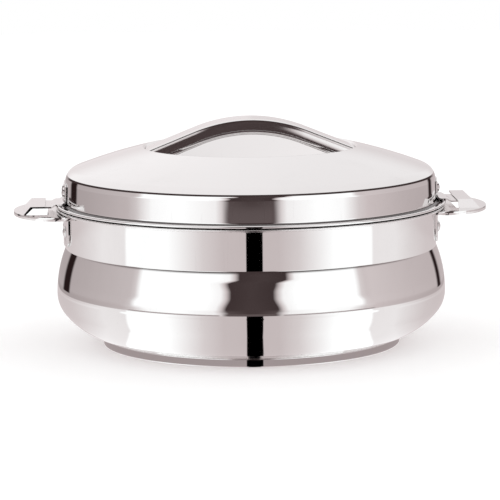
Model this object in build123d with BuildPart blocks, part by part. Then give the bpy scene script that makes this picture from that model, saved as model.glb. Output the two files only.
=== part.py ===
"""Insulated chapati casserole: a double-walled steel pot with a twist-lock insulated lid.

Millimetres. +Z is up, the pot stands on Z = 0 and its axis is the Z axis. The two side
handles lie along X. The lid is modelled shut and locked; turned 30 degrees
anticlockwise, seen from above, its ears leave the catches and it lifts off.
"""
import os
from math import asin, cos, degrees, hypot, radians, sin, sqrt, tan

from build123d import *

# ---------------------------------------------------------------- driving dimensions
# Pot, outside
pot_radius = 130.0           # widest part of the belly
pot_height = 93.0            # top of the rim, without the lid
foot_inset = 30.5            # foot ring in from the belly
foot_height = 5.5
foot_land = 3.6              # width of the edge the pot stands on
foot_round = 0.35
belly_low = 35.0             # the belly is upright between these two heights
belly_high = 35.5
shoulder_bend = 20.0         # tight bend under the belly
shoulder_turn = 38.0         # degrees
neck_inset = 6.0             # neck in from the belly
neck_height = 27.4           # upright neck, under the rim
rim_bead = 1.8               # height of the rolled edge
rim_roll = 1.6               # depth of the rolled edge
rim_round = 0.7

# Pot, inside
side_insulation = 10.4       # foam beside the neck
floor_insulation = 9.2       # foam under the bowl
bowl_corner = 22.0

# Sheet thicknesses
shell_wall = 0.5
bowl_wall = 0.5
base_wall = 0.6
cover_wall = 0.5
liner_wall = 0.5
grip_wall = 0.8
handle_wall = 1.2
catch_wall = 1.0
catch_side_wall = 1.6        # measured level, across its slope
ear_wall = 1.0

# Lid
seat_gap = 0.3               # lid flange above the rim
turn_gap = 0.3               # between lid pieces that turn on each other
spigot_depth = 5.0           # liner inside the bowl
spigot_gap = 1.5             # liner to bowl, at the side
spigot_corner = 3.0
lid_bead = 0.9               # radius of the rolled edge
lid_overhang = 6.6           # lid edge beyond the neck
flange_bend = 2.0
skirt_height = 15.4          # flange to the start of the dome's shoulder
skirt_draft = 2.0            # degrees, lean of the skirt towards the axis
dome_shoulder = 9.0          # bend between skirt and dome
dome_start = 20.9            # degrees, slope where the dome leaves the shoulder
dome_bend = 350.0
recess_radius = 72.0
recess_depth = 19.0
recess_slope = 60.0          # degrees
recess_edge = 2.0
recess_corner = 8.0

# Grip
grip_rise = 18.8             # top of the grip above the recess edge
grip_sink = 1.5              # top of its ends below the recess edge
grip_slope = 21.8            # degrees, straight ends of the bridge
grip_depth = 10.4
grip_width = 30.0
grip_round = 3.4
grip_seam = 3.2              # seam between the halves, above the underside
stud_radius = 2.0
stud_head = 3.0              # radius
stud_head_height = 1.2
stud_proud = 1.5             # stud past its nut
nut_size = 7.0               # across flats
nut_height = 3.2
washer_radius = 4.5
washer_height = 0.8

# Side handles, on the pot
plate_reach = 29.0           # half length of the oval plate, outwards
plate_half_width = 44.0
plate_centre = 5.0           # oval's centre outside the neck
plate_hem = 1.2              # turned-down edge under the plate
plate_gap = 0.2              # plate under the rolled rim
plate_bend = 3.0
tab_half_width = 29.0
tab_height = 22.7            # plate top to the tab's lower edge
tab_corner = 9.0
tab_fan = 45.0               # degrees each side, more than the tab needs
handle_rivet_drop = 13.2     # below the plate's top
handle_rivet_spread = 17.0   # from the handle's middle

# Catch, raised from each plate
catch_inset = 13.0           # free edge outside the neck
catch_lean = 4.5             # width of its sloping side
catch_ramp = 6.0             # length of its sloping closed end
catch_gap = 0.3              # above the tongue
catch_end_gap = 2.0          # past the tongue's end and beside the tongue

# Ears, on the lid
ear_half_angle = 7.5         # degrees
ear_half_width = 17.5
ear_tab_height = 14.0
ear_tab_corner = 5.0
ear_bend = 4.0
tongue_inset = 20.5          # tongue's end outside the neck
tongue_drop = 1.4            # joggle down from the lid's edge to the catch
joggle_start = 7.4           # outside the neck
joggle_end = 10.0
ear_rivet_drop = 6.2         # below the top of the tab
ear_rivet_spread = 10.5

# Rivets and plugs
rivet_head = 3.85            # radius
rivet_dome = 1.6
rivet_shank = 1.9
rivet_tail = 3.0
rivet_tail_height = 1.0
plug_radius = 6.0
plug_head = 9.0
plug_head_height = 1.2
plug_reach = 2.0             # stem past the sheet

# Clearances
lie_gap = 0.05               # between pieces clamped together
foam_gap = 0.1
pocket_gap = 1.0             # foam around fasteners
hole_gap = 0.1

# ---------------------------------------------------------------- derived sizes
foot_radius = pot_radius - foot_inset
neck_radius = pot_radius - neck_inset
neck_low = pot_height - neck_height
rim_radius = neck_radius + neck_inset
flange_low = pot_height - bowl_wall - shell_wall
shell_edge = rim_radius - rim_roll - hole_gap
foot_lap = foot_radius - 2 * foot_land

bowl_radius = neck_radius - shell_wall - side_insulation - bowl_wall
bowl_floor = foot_height + floor_insulation + 2 * bowl_wall

# The bend from the shoulder down to the foot is the circle that leaves the shoulder
# smoothly and passes through the foot's corner.
turn = radians(shoulder_turn)
shoulder_x = pot_radius - shoulder_bend * (1 - cos(turn))
shoulder_z = belly_low - shoulder_bend * sin(turn)
foot_run = shoulder_x - foot_radius
foot_drop = shoulder_z - foot_height
bottom_bend = (foot_run ** 2 + foot_drop ** 2) / (2 * (foot_run * cos(turn) - foot_drop * sin(turn)))
bottom_x = shoulder_x - bottom_bend * cos(turn)
bottom_z = shoulder_z + bottom_bend * sin(turn)

# The flare from the belly up to the neck starts upright.
flare_rise = neck_low - belly_high
flare_bend = (neck_inset ** 2 + flare_rise ** 2) / (2 * neck_inset)

# Lid levels
liner_low = pot_height + seat_gap
flange_under = liner_low + liner_wall + turn_gap
flange_top = flange_under + cover_wall
spigot_radius = bowl_radius - spigot_gap
spigot_low = liner_low - spigot_depth
lid_edge = neck_radius + lid_overhang
bead_centre = lid_edge - lid_bead
bead_z = pot_height + seat_gap + lid_bead
liner_edge = bead_centre - lid_bead - 2 * turn_gap
dome_low = flange_top + skirt_height

# The skirt leans in from the top of the flange's bend, where it has the neck's radius.
draft = radians(skirt_draft)
skirt_low = flange_top + flange_bend * (1 - sin(draft))
skirt_top_x = neck_radius - (dome_low - skirt_low) * tan(draft)

# Dome circle, and where it turns over the recess's edge
dome_angle = radians(90 - dome_start)
dome_x = skirt_top_x - dome_shoulder * cos(draft) + (dome_shoulder - dome_bend) * cos(dome_angle)
dome_z = dome_low - dome_shoulder * sin(draft) + (dome_shoulder - dome_bend) * sin(dome_angle)
edge_cos = (recess_radius - dome_x) / (dome_bend - recess_edge)
dome_turn = 90 - degrees(asin(edge_cos)) - (90 - dome_start)
edge_z = dome_z + (dome_bend - recess_edge) * sqrt(1 - edge_cos ** 2)
edge_top = edge_z + recess_edge
recess_floor = edge_top - recess_depth
slope = radians(recess_slope)

# Grip and its studs
stud_reach = cover_wall + washer_height + nut_height + stud_proud
grip_top_z = edge_top + grip_rise


def wall_radius(height, inset=0.0):
    """Radius of the recess's sloping wall at a height, moved into the recess by inset."""
    edge_radius = recess_radius - recess_edge * sin(slope)
    edge_height = edge_z + recess_edge * cos(slope)
    return edge_radius - (edge_height - height) / tan(slope) - inset / sin(slope)


# The bridge's arc runs smoothly into its straight ends, whose tops reach the recess wall
# at the set depth. The studs go through the middle of the ends.
grip_angle = radians(grip_slope)
end_drop = wall_radius(edge_top - grip_sink) * tan(grip_angle) - grip_rise - grip_sink
grip_bend = end_drop / (1 / cos(grip_angle) - 1)
grip_arc_z = grip_top_z - grip_bend
axis_crossing = grip_arc_z + (grip_bend - grip_depth / 2) / cos(grip_angle)
wall_at_zero = wall_radius(0)
stud_z = (axis_crossing - tan(grip_angle) * wall_at_zero) / (1 + tan(grip_angle) / tan(slope))

# Handles and ears
plate_top = pot_height - rim_bead - plate_gap
plate_low = plate_top - handle_wall
plate_x = neck_radius + plate_centre
ear_low = bead_z + lid_bead + 2 * hole_gap
tongue_low = ear_low - tongue_drop
catch_low = tongue_low + ear_wall + catch_gap
catch_top = catch_low + catch_wall
catch_edge = neck_radius + catch_inset
tongue_end = neck_radius + tongue_inset
catch_flat = tongue_end + catch_end_gap - catch_edge
tongue_half_width = tongue_end * sin(radians(ear_half_angle))
catch_half_length = tongue_half_width + catch_end_gap + catch_ramp


# ---------------------------------------------------------------- outlines, in the XZ plane
def shell_side(inset, top):
    """Shell's side from the foot up to a height on the neck, moved inwards by inset."""
    level = foot_height + inset
    bend = bottom_bend - inset
    foot_x = bottom_x + sqrt(bend ** 2 - (bottom_z - level) ** 2)
    neck = neck_radius - inset
    neck_z = belly_high + sqrt((flare_bend - inset) ** 2 - (neck - pot_radius + flare_bend) ** 2)
    belly = pot_radius - inset
    lap = Line((foot_lap, level), (foot_x, level))
    shoulder = JernArc((belly, belly_low), (0, -1), shoulder_bend - inset, -shoulder_turn)
    TangentArc(shoulder @ 1, lap @ 1, tangent=shoulder % 1)
    Line((belly, belly_low), (belly, belly_high))
    TangentArc((belly, belly_high), (neck, neck_z), tangent=(0, 1))
    Line((neck, neck_z), (neck, top))
    return lap @ 0, Vector(neck, top)


def shell_line(inset):
    """The whole shell, from the foot to the edge of the rim flange."""
    foot_end, flange_start = shell_side(inset, flange_low + inset)
    flange = Line(flange_start, (shell_edge, flange_low + inset))
    return foot_end, flange @ 1


def bowl_side(outset, top):
    """Bowl's food side from the middle up to a height, moved outwards by outset."""
    radius = bowl_radius + outset
    level = bowl_floor - outset
    corner = bowl_corner + outset
    Line((0, level), (radius - corner, level))
    bend = JernArc((radius - corner, level), (1, 0), corner, 90)
    Line(bend @ 1, (radius, top))
    return Vector(0, level), Vector(radius, top)


def bowl_line(outset):
    """The whole bowl, from the middle to the rolled edge of its flange."""
    middle, flange_start = bowl_side(outset, pot_height - outset)
    flange = Line(flange_start, (rim_radius - rim_roll, pot_height - outset))
    return middle, flange @ 1


def recess_line(inset):
    """Lid's top from the middle of the recess out to the skirt, moved inwards by inset."""
    floor = recess_floor - inset
    corner = recess_corner + inset
    skirt_top = Vector(skirt_top_x - inset * cos(draft), dome_low - inset * sin(draft))
    bend_angle = 90 - dome_start - skirt_draft
    shoulder = JernArc(skirt_top, (-sin(draft), cos(draft)), dome_shoulder - inset, bend_angle)
    dome = JernArc(shoulder @ 1, shoulder % 1, dome_bend - inset, dome_turn)
    edge = JernArc(dome @ 1, dome % 1, recess_edge - inset, recess_slope + dome_start - dome_turn)
    drop = (edge @ 1).Y - floor - corner * (1 - cos(slope))
    wall = PolarLine(edge @ 1, drop / sin(slope), 180 + recess_slope)
    bend = JernArc(wall @ 1, wall % 1, corner, -recess_slope)
    Line(bend @ 1, (0, floor))
    return Vector(0, floor), skirt_top


def skirt_line(inset):
    """Lid's skirt and flange below the dome's shoulder, moved inwards by inset."""
    skirt_top = Vector(skirt_top_x - inset * cos(draft), dome_low - inset * sin(draft))
    skirt_foot = Vector(neck_radius - inset * cos(draft), skirt_low - inset * sin(draft))
    Line(skirt_top, skirt_foot)
    bend = JernArc(skirt_foot, (sin(draft), -cos(draft)), flange_bend + inset, 90 - skirt_draft)
    Line(bend @ 1, (bead_centre, flange_top - inset))
    return Vector(bead_centre, flange_top - inset)


def cover_line(inset):
    """The whole cover, from the middle of the recess to the rolled edge of its flange."""
    middle, _ = recess_line(inset)
    return middle, skirt_line(inset)


def liner_side(outset, top):
    """Liner's underside from the middle up to a height, moved into the lid by outset."""
    radius = spigot_radius - outset
    level = spigot_low + outset
    corner = spigot_corner - outset
    Line((0, level), (radius - corner, level))
    bend = JernArc((radius - corner, level), (1, 0), corner, 90)
    Line(bend @ 1, (radius, top))
    return Vector(0, level), Vector(radius, top)


def liner_line(outset):
    """The whole liner, from the middle to the edge of its flange."""
    middle, flange_start = liner_side(outset, liner_low + outset)
    flange = Line(flange_start, (liner_edge, liner_low + outset))
    return middle, flange @ 1


def tab_face(height):
    """Radius of the ear tab's inner face at a height, on the leaning skirt."""
    return neck_radius - (height - skirt_low) * tan(draft) + lie_gap / cos(draft)


def ear_line(inset):
    """Ear from the tab's top, out over the lid's edge and down to the tongue's end."""
    bend_top = ear_low + ear_bend * (1 - sin(draft)) + inset * sin(draft)
    tab_top = ear_tab_top + inset * sin(draft)
    tab = Line((tab_face(ear_tab_top) + inset * cos(draft), tab_top),
               (tab_face(bend_top - inset * sin(draft)) + inset * cos(draft), bend_top))
    bend = JernArc(tab @ 1, (sin(draft), -cos(draft)), ear_bend - inset, 90 - skirt_draft)
    Polyline(bend @ 1,
             (neck_radius + joggle_start, ear_low + inset),
             (neck_radius + joggle_end, tongue_low + inset),
             (tongue_end, tongue_low + inset))
    return tab @ 0, Vector(tongue_end, tongue_low + inset)


def grip_band(top_depth, low_depth):
    """Bridge of the grip, seen from the side, between two depths below its top."""
    ends = []
    for depth in (top_depth, low_depth):
        arc = CenterArc((0, grip_arc_z), grip_bend - depth, 90 - grip_slope, 2 * grip_slope)
        right = PolarLine(arc @ 0, recess_radius, -grip_slope)
        left = PolarLine(arc @ 1, recess_radius, 180 + grip_slope)
        ends.append((left @ 1, right @ 1))
    Line(ends[0][0], ends[1][0])
    Line(ends[0][1], ends[1][1])


def sheet(line_function, wall):
    """Closed section of a pressed sheet between an outline and the same line one wall in."""
    outer = line_function(0)
    inner = line_function(wall)
    Line(outer[0], inner[0])
    Line(outer[1], inner[1])


def fan_plane(angle):
    """Upright plane through Z, turned clockwise from the XZ plane by an angle in degrees."""
    turned = radians(angle)
    return Plane((0, 0, 0), x_dir=(cos(turned), -sin(turned), 0), z_dir=(-sin(turned), -cos(turned), 0))


# ---------------------------------------------------------------- fasteners
def radial_plane(radius, spread, height, side, lean=0.0):
    """Plane on a wall about Z that leans in by an angle, its Z axis pointing outwards.
    side is 1 right, -1 left."""
    angle = asin(spread / radius)
    level = Vector(side * cos(angle), side * sin(angle), 0)
    up = Vector(0, 0, 1)
    outward = level * cos(lean) + up * sin(lean)
    upward = up * cos(lean) - level * sin(lean)
    return Plane(level * radius + up * height, x_dir=upward, z_dir=outward)


def stud_plane(side):
    """Plane on the recess wall where a stud passes, its Z axis pointing into the lid."""
    into_lid = Vector(side * sin(slope), 0, -cos(slope))
    return Plane((side * wall_radius(stud_z), 0, stud_z), x_dir=(0, 1, 0), z_dir=into_lid)


def drill(planes, radius, depth):
    """Round holes through the sheet at each plane."""
    with Locations(*planes):
        Cylinder(radius, 2 * depth, mode=Mode.SUBTRACT)


def rivet(plane, stack):
    """Domed rivet through a stack of sheet whose outer face is the plane."""
    tail = -stack - lie_gap
    side_view = Plane(plane.origin, x_dir=plane.x_dir, z_dir=plane.y_dir * -1)
    with BuildSketch(side_view) as section:
        with BuildLine():
            Polyline(
                (0, tail - rivet_tail_height),
                (rivet_tail, tail - rivet_tail_height),
                (rivet_tail, tail),
                (rivet_shank, tail),
                (rivet_shank, lie_gap),
                (rivet_head, lie_gap),
            )
            TangentArc((0, lie_gap + rivet_dome), (rivet_head, lie_gap), tangent=(1, 0))
            Line((0, lie_gap + rivet_dome), (0, tail - rivet_tail_height))
        make_face()
    revolve(section.sketch, axis=Axis(plane.origin, plane.z_dir))


handle_rivet_z = plate_top - handle_rivet_drop
ear_tab_top = ear_low + ear_tab_height
ear_rivet_z = ear_tab_top - ear_rivet_drop
handle_face = neck_radius + lie_gap + handle_wall
ear_face = tab_face(ear_rivet_z) + ear_wall / cos(draft)
stud_planes = [stud_plane(1), stud_plane(-1)]


def rivet_pair(radius, spread, height, side, lean=0.0):
    """Planes of the two rivets that hold a tab on one side."""
    return [radial_plane(radius, y, height, side, lean) for y in (-spread, spread)]


right_handle_planes = rivet_pair(handle_face, handle_rivet_spread, handle_rivet_z, 1)
left_handle_planes = rivet_pair(handle_face, handle_rivet_spread, handle_rivet_z, -1)
right_ear_planes = rivet_pair(ear_face, ear_rivet_spread, ear_rivet_z, 1, draft)
left_ear_planes = rivet_pair(ear_face, ear_rivet_spread, ear_rivet_z, -1, draft)

# ---------------------------------------------------------------- pot
with BuildPart() as outer_shell:
    with BuildSketch(Plane.XZ):
        with BuildLine():
            sheet(shell_line, shell_wall)
        make_face()
    revolve(axis=Axis.Z)
    drill(right_handle_planes + left_handle_planes, rivet_shank + hole_gap, rivet_tail * 2)

with BuildPart() as inner_bowl:
    with BuildSketch(Plane.XZ):
        with BuildLine():
            sheet(bowl_line, bowl_wall)
        make_face()
        with Locations((rim_radius - rim_roll / 2, pot_height - rim_bead / 2)):
            roll = Rectangle(rim_roll, rim_bead)
        fillet(roll.vertices().sort_by(Axis.X)[-2:], rim_round)
    revolve(axis=Axis.Z)

with BuildPart() as base_plate:
    Cylinder(foot_radius, foot_height, align=(Align.CENTER, Align.CENTER, Align.MIN))
    with BuildSketch(Plane.XY):
        Circle(foot_radius - foot_land)
    extrude(amount=foot_height - base_wall, mode=Mode.SUBTRACT)
    with BuildSketch(Plane.XY.offset(base_wall)):
        Circle(foot_radius - base_wall)
    extrude(amount=foot_height - 2 * base_wall, mode=Mode.SUBTRACT)
    standing_edges = base_plate.edges().filter_by(GeomType.CIRCLE).group_by(Axis.Z)[0]
    fillet(standing_edges.sort_by(SortBy.RADIUS)[-1], foot_round)
    with Locations((0, 0, foot_height)):
        Cylinder(plug_radius, 4 * base_wall, mode=Mode.SUBTRACT)


def fill_plug(sheet_low, sheet_wall):
    """Push-in plug under a pour hole: a flat head below the sheet and a stem through it."""
    with Locations((0, 0, sheet_low - plug_head_height)):
        Cylinder(plug_head, plug_head_height, align=(Align.CENTER, Align.CENTER, Align.MIN))
    with Locations((0, 0, sheet_low)):
        stem = sheet_wall + plug_reach
        Cylinder(plug_radius - hole_gap, stem, align=(Align.CENTER, Align.CENTER, Align.MIN))


with BuildPart() as pot_fill_plug:
    fill_plug(foot_height - base_wall, base_wall)

with BuildPart() as pot_foam:
    with BuildSketch(Plane.XZ):
        with BuildLine():
            foam_top = pot_height - bowl_wall - foam_gap
            outer_ends = shell_side(shell_wall + foam_gap, foam_top)
            inner_ends = bowl_side(bowl_wall + foam_gap, foam_top)
            Line(outer_ends[1], inner_ends[1])
            lap_edge = foot_lap - foam_gap
            floor_level = foot_height + foam_gap
            Polyline(outer_ends[0], (lap_edge, outer_ends[0].Y), (lap_edge, floor_level),
                     (0, floor_level), inner_ends[0])
        make_face()
    revolve(axis=Axis.Z)

    for plane in right_handle_planes + left_handle_planes:
        with Locations(plane.offset(-handle_wall - lie_gap - shell_wall)):
            Cylinder(rivet_tail + pocket_gap, 2 * (rivet_tail_height + pocket_gap), mode=Mode.SUBTRACT)
    with Locations((0, 0, foot_height)):
        Cylinder(plug_radius + pocket_gap, 2 * (plug_reach + pocket_gap), mode=Mode.SUBTRACT)

# ---------------------------------------------------------------- side handles
def catch_block(inset, top):
    """Solid under the catch's top: a straight inner side and mouth, a sloping outer side
    and closed end, both drawn in by inset."""
    inner = catch_edge - inset
    outer = catch_edge + catch_flat + catch_lean - inset
    mouth = catch_half_length + inset
    closed = inset - catch_half_length
    with BuildPart() as block:
        with BuildSketch(Plane.XZ):
            with BuildLine():
                Polyline((inner, plate_low), (inner, top), (outer - catch_lean, top),
                         (outer, plate_top), (outer, plate_low), close=True)
            make_face()
        extrude(amount=mouth + inset, both=True)
        with BuildSketch(Plane.YZ):
            with BuildLine():
                Polyline((closed, plate_low), (closed, plate_top), (closed + catch_ramp, top),
                         (mouth, top), (mouth, plate_low), close=True)
            make_face()
        extrude(amount=outer, mode=Mode.INTERSECT)
    return block.part


def oval(shrink=0.0):
    """Outline of the plate."""
    with Locations((plate_x, 0)):
        Ellipse(plate_reach - shrink, plate_half_width - shrink)


with BuildPart() as handle_tab:
    # Tab down the neck, with the bend that joins it to the plate
    with BuildSketch(fan_plane(tab_fan)):
        with Locations((neck_radius + lie_gap, plate_top)):
            Rectangle(handle_wall, tab_height, align=(Align.MIN, Align.MAX))
        with BuildLine():
            corner = Vector(handle_face, plate_low)
            bend = JernArc(corner - (0, plate_bend), (0, 1), plate_bend, -90)
            Polyline(bend @ 1, corner, bend @ 0)
        make_face()
    revolve(axis=Axis.Z, revolution_arc=2 * tab_fan)
    with BuildSketch(Plane.YZ):
        with Locations((0, plate_top)):
            face = Rectangle(2 * tab_half_width, tab_height, align=(Align.CENTER, Align.MAX))
        fillet(face.vertices().group_by(Axis.Y)[0], tab_corner)
    extrude(amount=plate_x, mode=Mode.INTERSECT)

raised = catch_block(0, catch_top)
hollow = catch_block(catch_side_wall, catch_low)

with BuildPart() as right_handle:
    # Oval plate with its turned-down hem
    with BuildSketch(Plane.XY.offset(plate_low - plate_hem)):
        oval()
    extrude(amount=handle_wall + plate_hem)
    with BuildSketch(Plane.XY.offset(plate_low - plate_hem)):
        oval(handle_wall)
    extrude(amount=plate_hem, mode=Mode.SUBTRACT)
    # Catch, raised out of the plate and open towards +Y
    add(raised)
    add(hollow, mode=Mode.SUBTRACT)
    # Nothing past the oval's edge, nothing inside the neck
    with BuildSketch(Plane.XY.offset(plate_low - plate_hem)):
        oval()
        Circle(neck_radius + lie_gap, mode=Mode.SUBTRACT)
    extrude(amount=catch_top - plate_low + plate_hem, mode=Mode.INTERSECT)
    add(handle_tab.part)
    drill(right_handle_planes, rivet_shank + hole_gap, handle_wall * 2)

with BuildPart() as left_handle:
    add(right_handle.part.rotate(Axis.Z, 180))

with BuildPart() as right_handle_rivets:
    for plane in right_handle_planes:
        rivet(plane, handle_wall + lie_gap + shell_wall)

with BuildPart() as left_handle_rivets:
    for plane in left_handle_planes:
        rivet(plane, handle_wall + lie_gap + shell_wall)

# ---------------------------------------------------------------- lid
with BuildPart() as lid_cover:
    with BuildSketch(Plane.XZ):
        with BuildLine():
            sheet(cover_line, cover_wall)
        make_face()
        with Locations((bead_centre, bead_z)):
            Circle(lid_bead)
    revolve(axis=Axis.Z)
    drill(right_ear_planes + left_ear_planes, rivet_shank + hole_gap, rivet_tail * 2)
    drill(stud_planes, stud_radius + hole_gap, cover_wall * 4)

with BuildPart() as lid_liner:
    with BuildSketch(Plane.XZ):
        with BuildLine():
            sheet(liner_line, liner_wall)
        make_face()
    revolve(axis=Axis.Z)
    with Locations((0, 0, spigot_low)):
        Cylinder(plug_radius, 4 * liner_wall, mode=Mode.SUBTRACT)

with BuildPart() as lid_fill_plug:
    fill_plug(spigot_low, liner_wall)

with BuildPart() as lid_foam:
    with BuildSketch(Plane.XZ):
        with BuildLine():
            top_middle, top_edge = recess_line(cover_wall + foam_gap)
            low_middle, low_edge = liner_side(liner_wall + turn_gap, flange_under)
            Polyline(top_edge, (top_edge.X, flange_under), low_edge)
            Line(top_middle, low_middle)
        make_face()
    revolve(axis=Axis.Z)
    for plane in right_ear_planes + left_ear_planes:
        with Locations(plane.offset(-ear_wall - lie_gap - cover_wall)):
            Cylinder(rivet_tail + pocket_gap, 2 * (rivet_tail_height + pocket_gap), mode=Mode.SUBTRACT)
    for plane in stud_planes:
        with Locations(plane):
            Cylinder(washer_radius + pocket_gap, 2 * stud_reach + 2 * pocket_gap, mode=Mode.SUBTRACT)
    with Locations((0, 0, spigot_low)):
        Cylinder(plug_radius + pocket_gap, 2 * (liner_wall + plug_reach + pocket_gap), mode=Mode.SUBTRACT)

# ---------------------------------------------------------------- ears
with BuildPart() as right_ear:
    with BuildSketch(fan_plane(ear_half_angle)):
        with BuildLine():
            sheet(ear_line, ear_wall)
        make_face()
    revolve(axis=Axis.Z, revolution_arc=2 * ear_half_angle)
    # Round the tab's upper corners and the tongue's end
    ear_height = ear_tab_height + tongue_drop
    with BuildSketch(Plane.YZ):
        with Locations((0, ear_tab_top)):
            face = Rectangle(2 * ear_half_width, ear_height, align=(Align.CENTER, Align.MAX))
        fillet(face.vertices().group_by(Axis.Y)[-1], ear_tab_corner)
    extrude(amount=tongue_end, mode=Mode.INTERSECT)
    drill(right_ear_planes, rivet_shank + hole_gap, ear_wall * 2)

with BuildPart() as left_ear:
    add(right_ear.part.rotate(Axis.Z, 180))

with BuildPart() as right_ear_rivets:
    for plane in right_ear_planes:
        rivet(plane, ear_wall + lie_gap + cover_wall)

with BuildPart() as left_ear_rivets:
    for plane in left_ear_planes:
        rivet(plane, ear_wall + lie_gap + cover_wall)


# ---------------------------------------------------------------- grip
def keep_in_recess(inset):
    """Cut a bridge to the recess, its ends facing the sloping wall at a distance."""
    low = recess_floor
    high = grip_top_z + grip_depth
    with BuildSketch(Plane.XZ) as space:
        with BuildLine():
            Polyline((0, low), (wall_radius(low, inset), low),
                     (wall_radius(high, inset), high), (0, high), close=True)
        make_face()
    revolve(space.sketch, axis=Axis.Z, mode=Mode.INTERSECT)


def bridge(top_depth, low_depth, width, mode=Mode.ADD):
    """Straight-sided piece of the bridge between two depths."""
    with BuildSketch(Plane.XZ) as side:
        with BuildLine():
            grip_band(top_depth, low_depth)
        make_face()
    extrude(side.sketch, amount=width / 2, both=True, mode=mode)


with BuildPart() as grip_outside:
    bridge(0, grip_depth, grip_width)
    sides = grip_outside.edges().group_by(Axis.Y)
    fillet(sides[0] + sides[-1], grip_round)
    keep_in_recess(lie_gap)

with BuildPart() as grip_hollow:
    bridge(grip_wall, grip_depth - grip_wall, grip_width - 2 * grip_wall)
    sides = grip_hollow.edges().group_by(Axis.Y)
    fillet(sides[0] + sides[-1], grip_round - grip_wall)
    keep_in_recess(lie_gap + grip_wall)

with BuildPart() as grip_top:
    add(grip_outside.part)
    add(grip_hollow.part, mode=Mode.SUBTRACT)
    bridge(0, grip_depth - grip_seam, grip_width, mode=Mode.INTERSECT)
    drill(stud_planes, stud_radius + hole_gap, grip_wall * 3)

with BuildPart() as grip_bottom:
    add(grip_outside.part)
    add(grip_hollow.part, mode=Mode.SUBTRACT)
    bridge(grip_depth - grip_seam + lie_gap, grip_depth, grip_width, mode=Mode.INTERSECT)
    drill(stud_planes, stud_radius + hole_gap, grip_wall * 3)

with BuildPart() as grip_studs:
    for plane in stud_planes:
        head_face = -lie_gap - grip_wall - hole_gap
        with Locations(plane.offset(head_face)):
            Cylinder(stud_head, stud_head_height, align=(Align.CENTER, Align.CENTER, Align.MAX))
            Cylinder(stud_radius, stud_reach - head_face, align=(Align.CENTER, Align.CENTER, Align.MIN))

with BuildPart() as grip_washers:
    for plane in stud_planes:
        with BuildSketch(plane.offset(cover_wall + lie_gap)):
            Circle(washer_radius)
            Circle(stud_radius + hole_gap, mode=Mode.SUBTRACT)
        extrude(amount=washer_height)

with BuildPart() as grip_nuts:
    for plane in stud_planes:
        with BuildSketch(plane.offset(cover_wall + washer_height + 2 * lie_gap)):
            RegularPolygon(nut_size / 2, 6, major_radius=False)
            Circle(stud_radius + lie_gap, mode=Mode.SUBTRACT)
        extrude(amount=nut_height)

# ---------------------------------------------------------------- save
pieces = {
    "outer_shell": outer_shell,
    "inner_bowl": inner_bowl,
    "base_plate": base_plate,
    "pot_fill_plug": pot_fill_plug,
    "pot_foam": pot_foam,
    "left_handle": left_handle,
    "right_handle": right_handle,
    "left_handle_rivets": left_handle_rivets,
    "right_handle_rivets": right_handle_rivets,
    "lid_cover": lid_cover,
    "lid_liner": lid_liner,
    "lid_fill_plug": lid_fill_plug,
    "lid_foam": lid_foam,
    "left_ear": left_ear,
    "right_ear": right_ear,
    "left_ear_rivets": left_ear_rivets,
    "right_ear_rivets": right_ear_rivets,
    "grip_top": grip_top,
    "grip_bottom": grip_bottom,
    "grip_studs": grip_studs,
    "grip_washers": grip_washers,
    "grip_nuts": grip_nuts,
}
os.makedirs("parts", exist_ok=True)
for name, piece in pieces.items():
    piece.part.label = name
    export_step(piece.part, f"parts/{name}.step")
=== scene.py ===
"""Looks of the insulated casserole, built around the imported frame. Metres, +Z up.

The pressed sheets are revolved outlines, written in millimetres as straight runs and bends.
"""
import math
import bpy
import numpy as np
from mathutils import Matrix, Vector


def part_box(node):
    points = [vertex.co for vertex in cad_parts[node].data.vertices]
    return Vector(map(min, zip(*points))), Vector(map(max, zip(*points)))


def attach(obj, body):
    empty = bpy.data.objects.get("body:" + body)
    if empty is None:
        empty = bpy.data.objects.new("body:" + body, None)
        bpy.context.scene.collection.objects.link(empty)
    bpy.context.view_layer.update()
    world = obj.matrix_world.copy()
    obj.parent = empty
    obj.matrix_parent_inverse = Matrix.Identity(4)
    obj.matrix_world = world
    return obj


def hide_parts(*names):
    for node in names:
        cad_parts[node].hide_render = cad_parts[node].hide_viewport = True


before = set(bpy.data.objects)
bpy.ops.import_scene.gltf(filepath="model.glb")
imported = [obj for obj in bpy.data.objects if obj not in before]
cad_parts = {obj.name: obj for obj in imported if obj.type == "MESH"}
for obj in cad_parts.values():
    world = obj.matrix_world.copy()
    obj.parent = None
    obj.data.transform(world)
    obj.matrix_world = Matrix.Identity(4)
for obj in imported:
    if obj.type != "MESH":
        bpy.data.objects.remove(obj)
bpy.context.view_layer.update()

MM = 0.001


# ---------------------------------------------------------------- sizes, millimetres
def top_of(node):
    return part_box(node)[1].z / MM


def reach_of(node):
    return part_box(node)[1].x / MM


BELLY_RADIUS = reach_of("outer_shell")
POT_HEIGHT = top_of("inner_bowl")
FOOT_RADIUS = reach_of("base_plate")
FOOT_HEIGHT = top_of("base_plate")
LID_RADIUS = reach_of("lid_cover")
GRIP_TOP = top_of("grip_top")

SHEET = 0.5                  # shell, bowl, lid cover and liner
BASE_SHEET = 0.6

# Outside of the pot
BELLY_LOW, BELLY_HIGH = 35.0, 35.5
SHOULDER_BEND, SHOULDER_TURN = 20.0, 38.0
NECK_RADIUS = BELLY_RADIUS - 6.0
NECK_LOW = POT_HEIGHT - 27.4
RIM_CREASE, NECK_CREASE, FOOT_CREASE = 1.2, 0.8, 0.5
FOOT_LAP = 7.2               # shell turned in under the pot
SHELL_EDGE = 1.7             # shell's flange ends inside the rolled rim
FOOT_ROUND, FOOT_LAND = 0.7, 3.6

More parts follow.
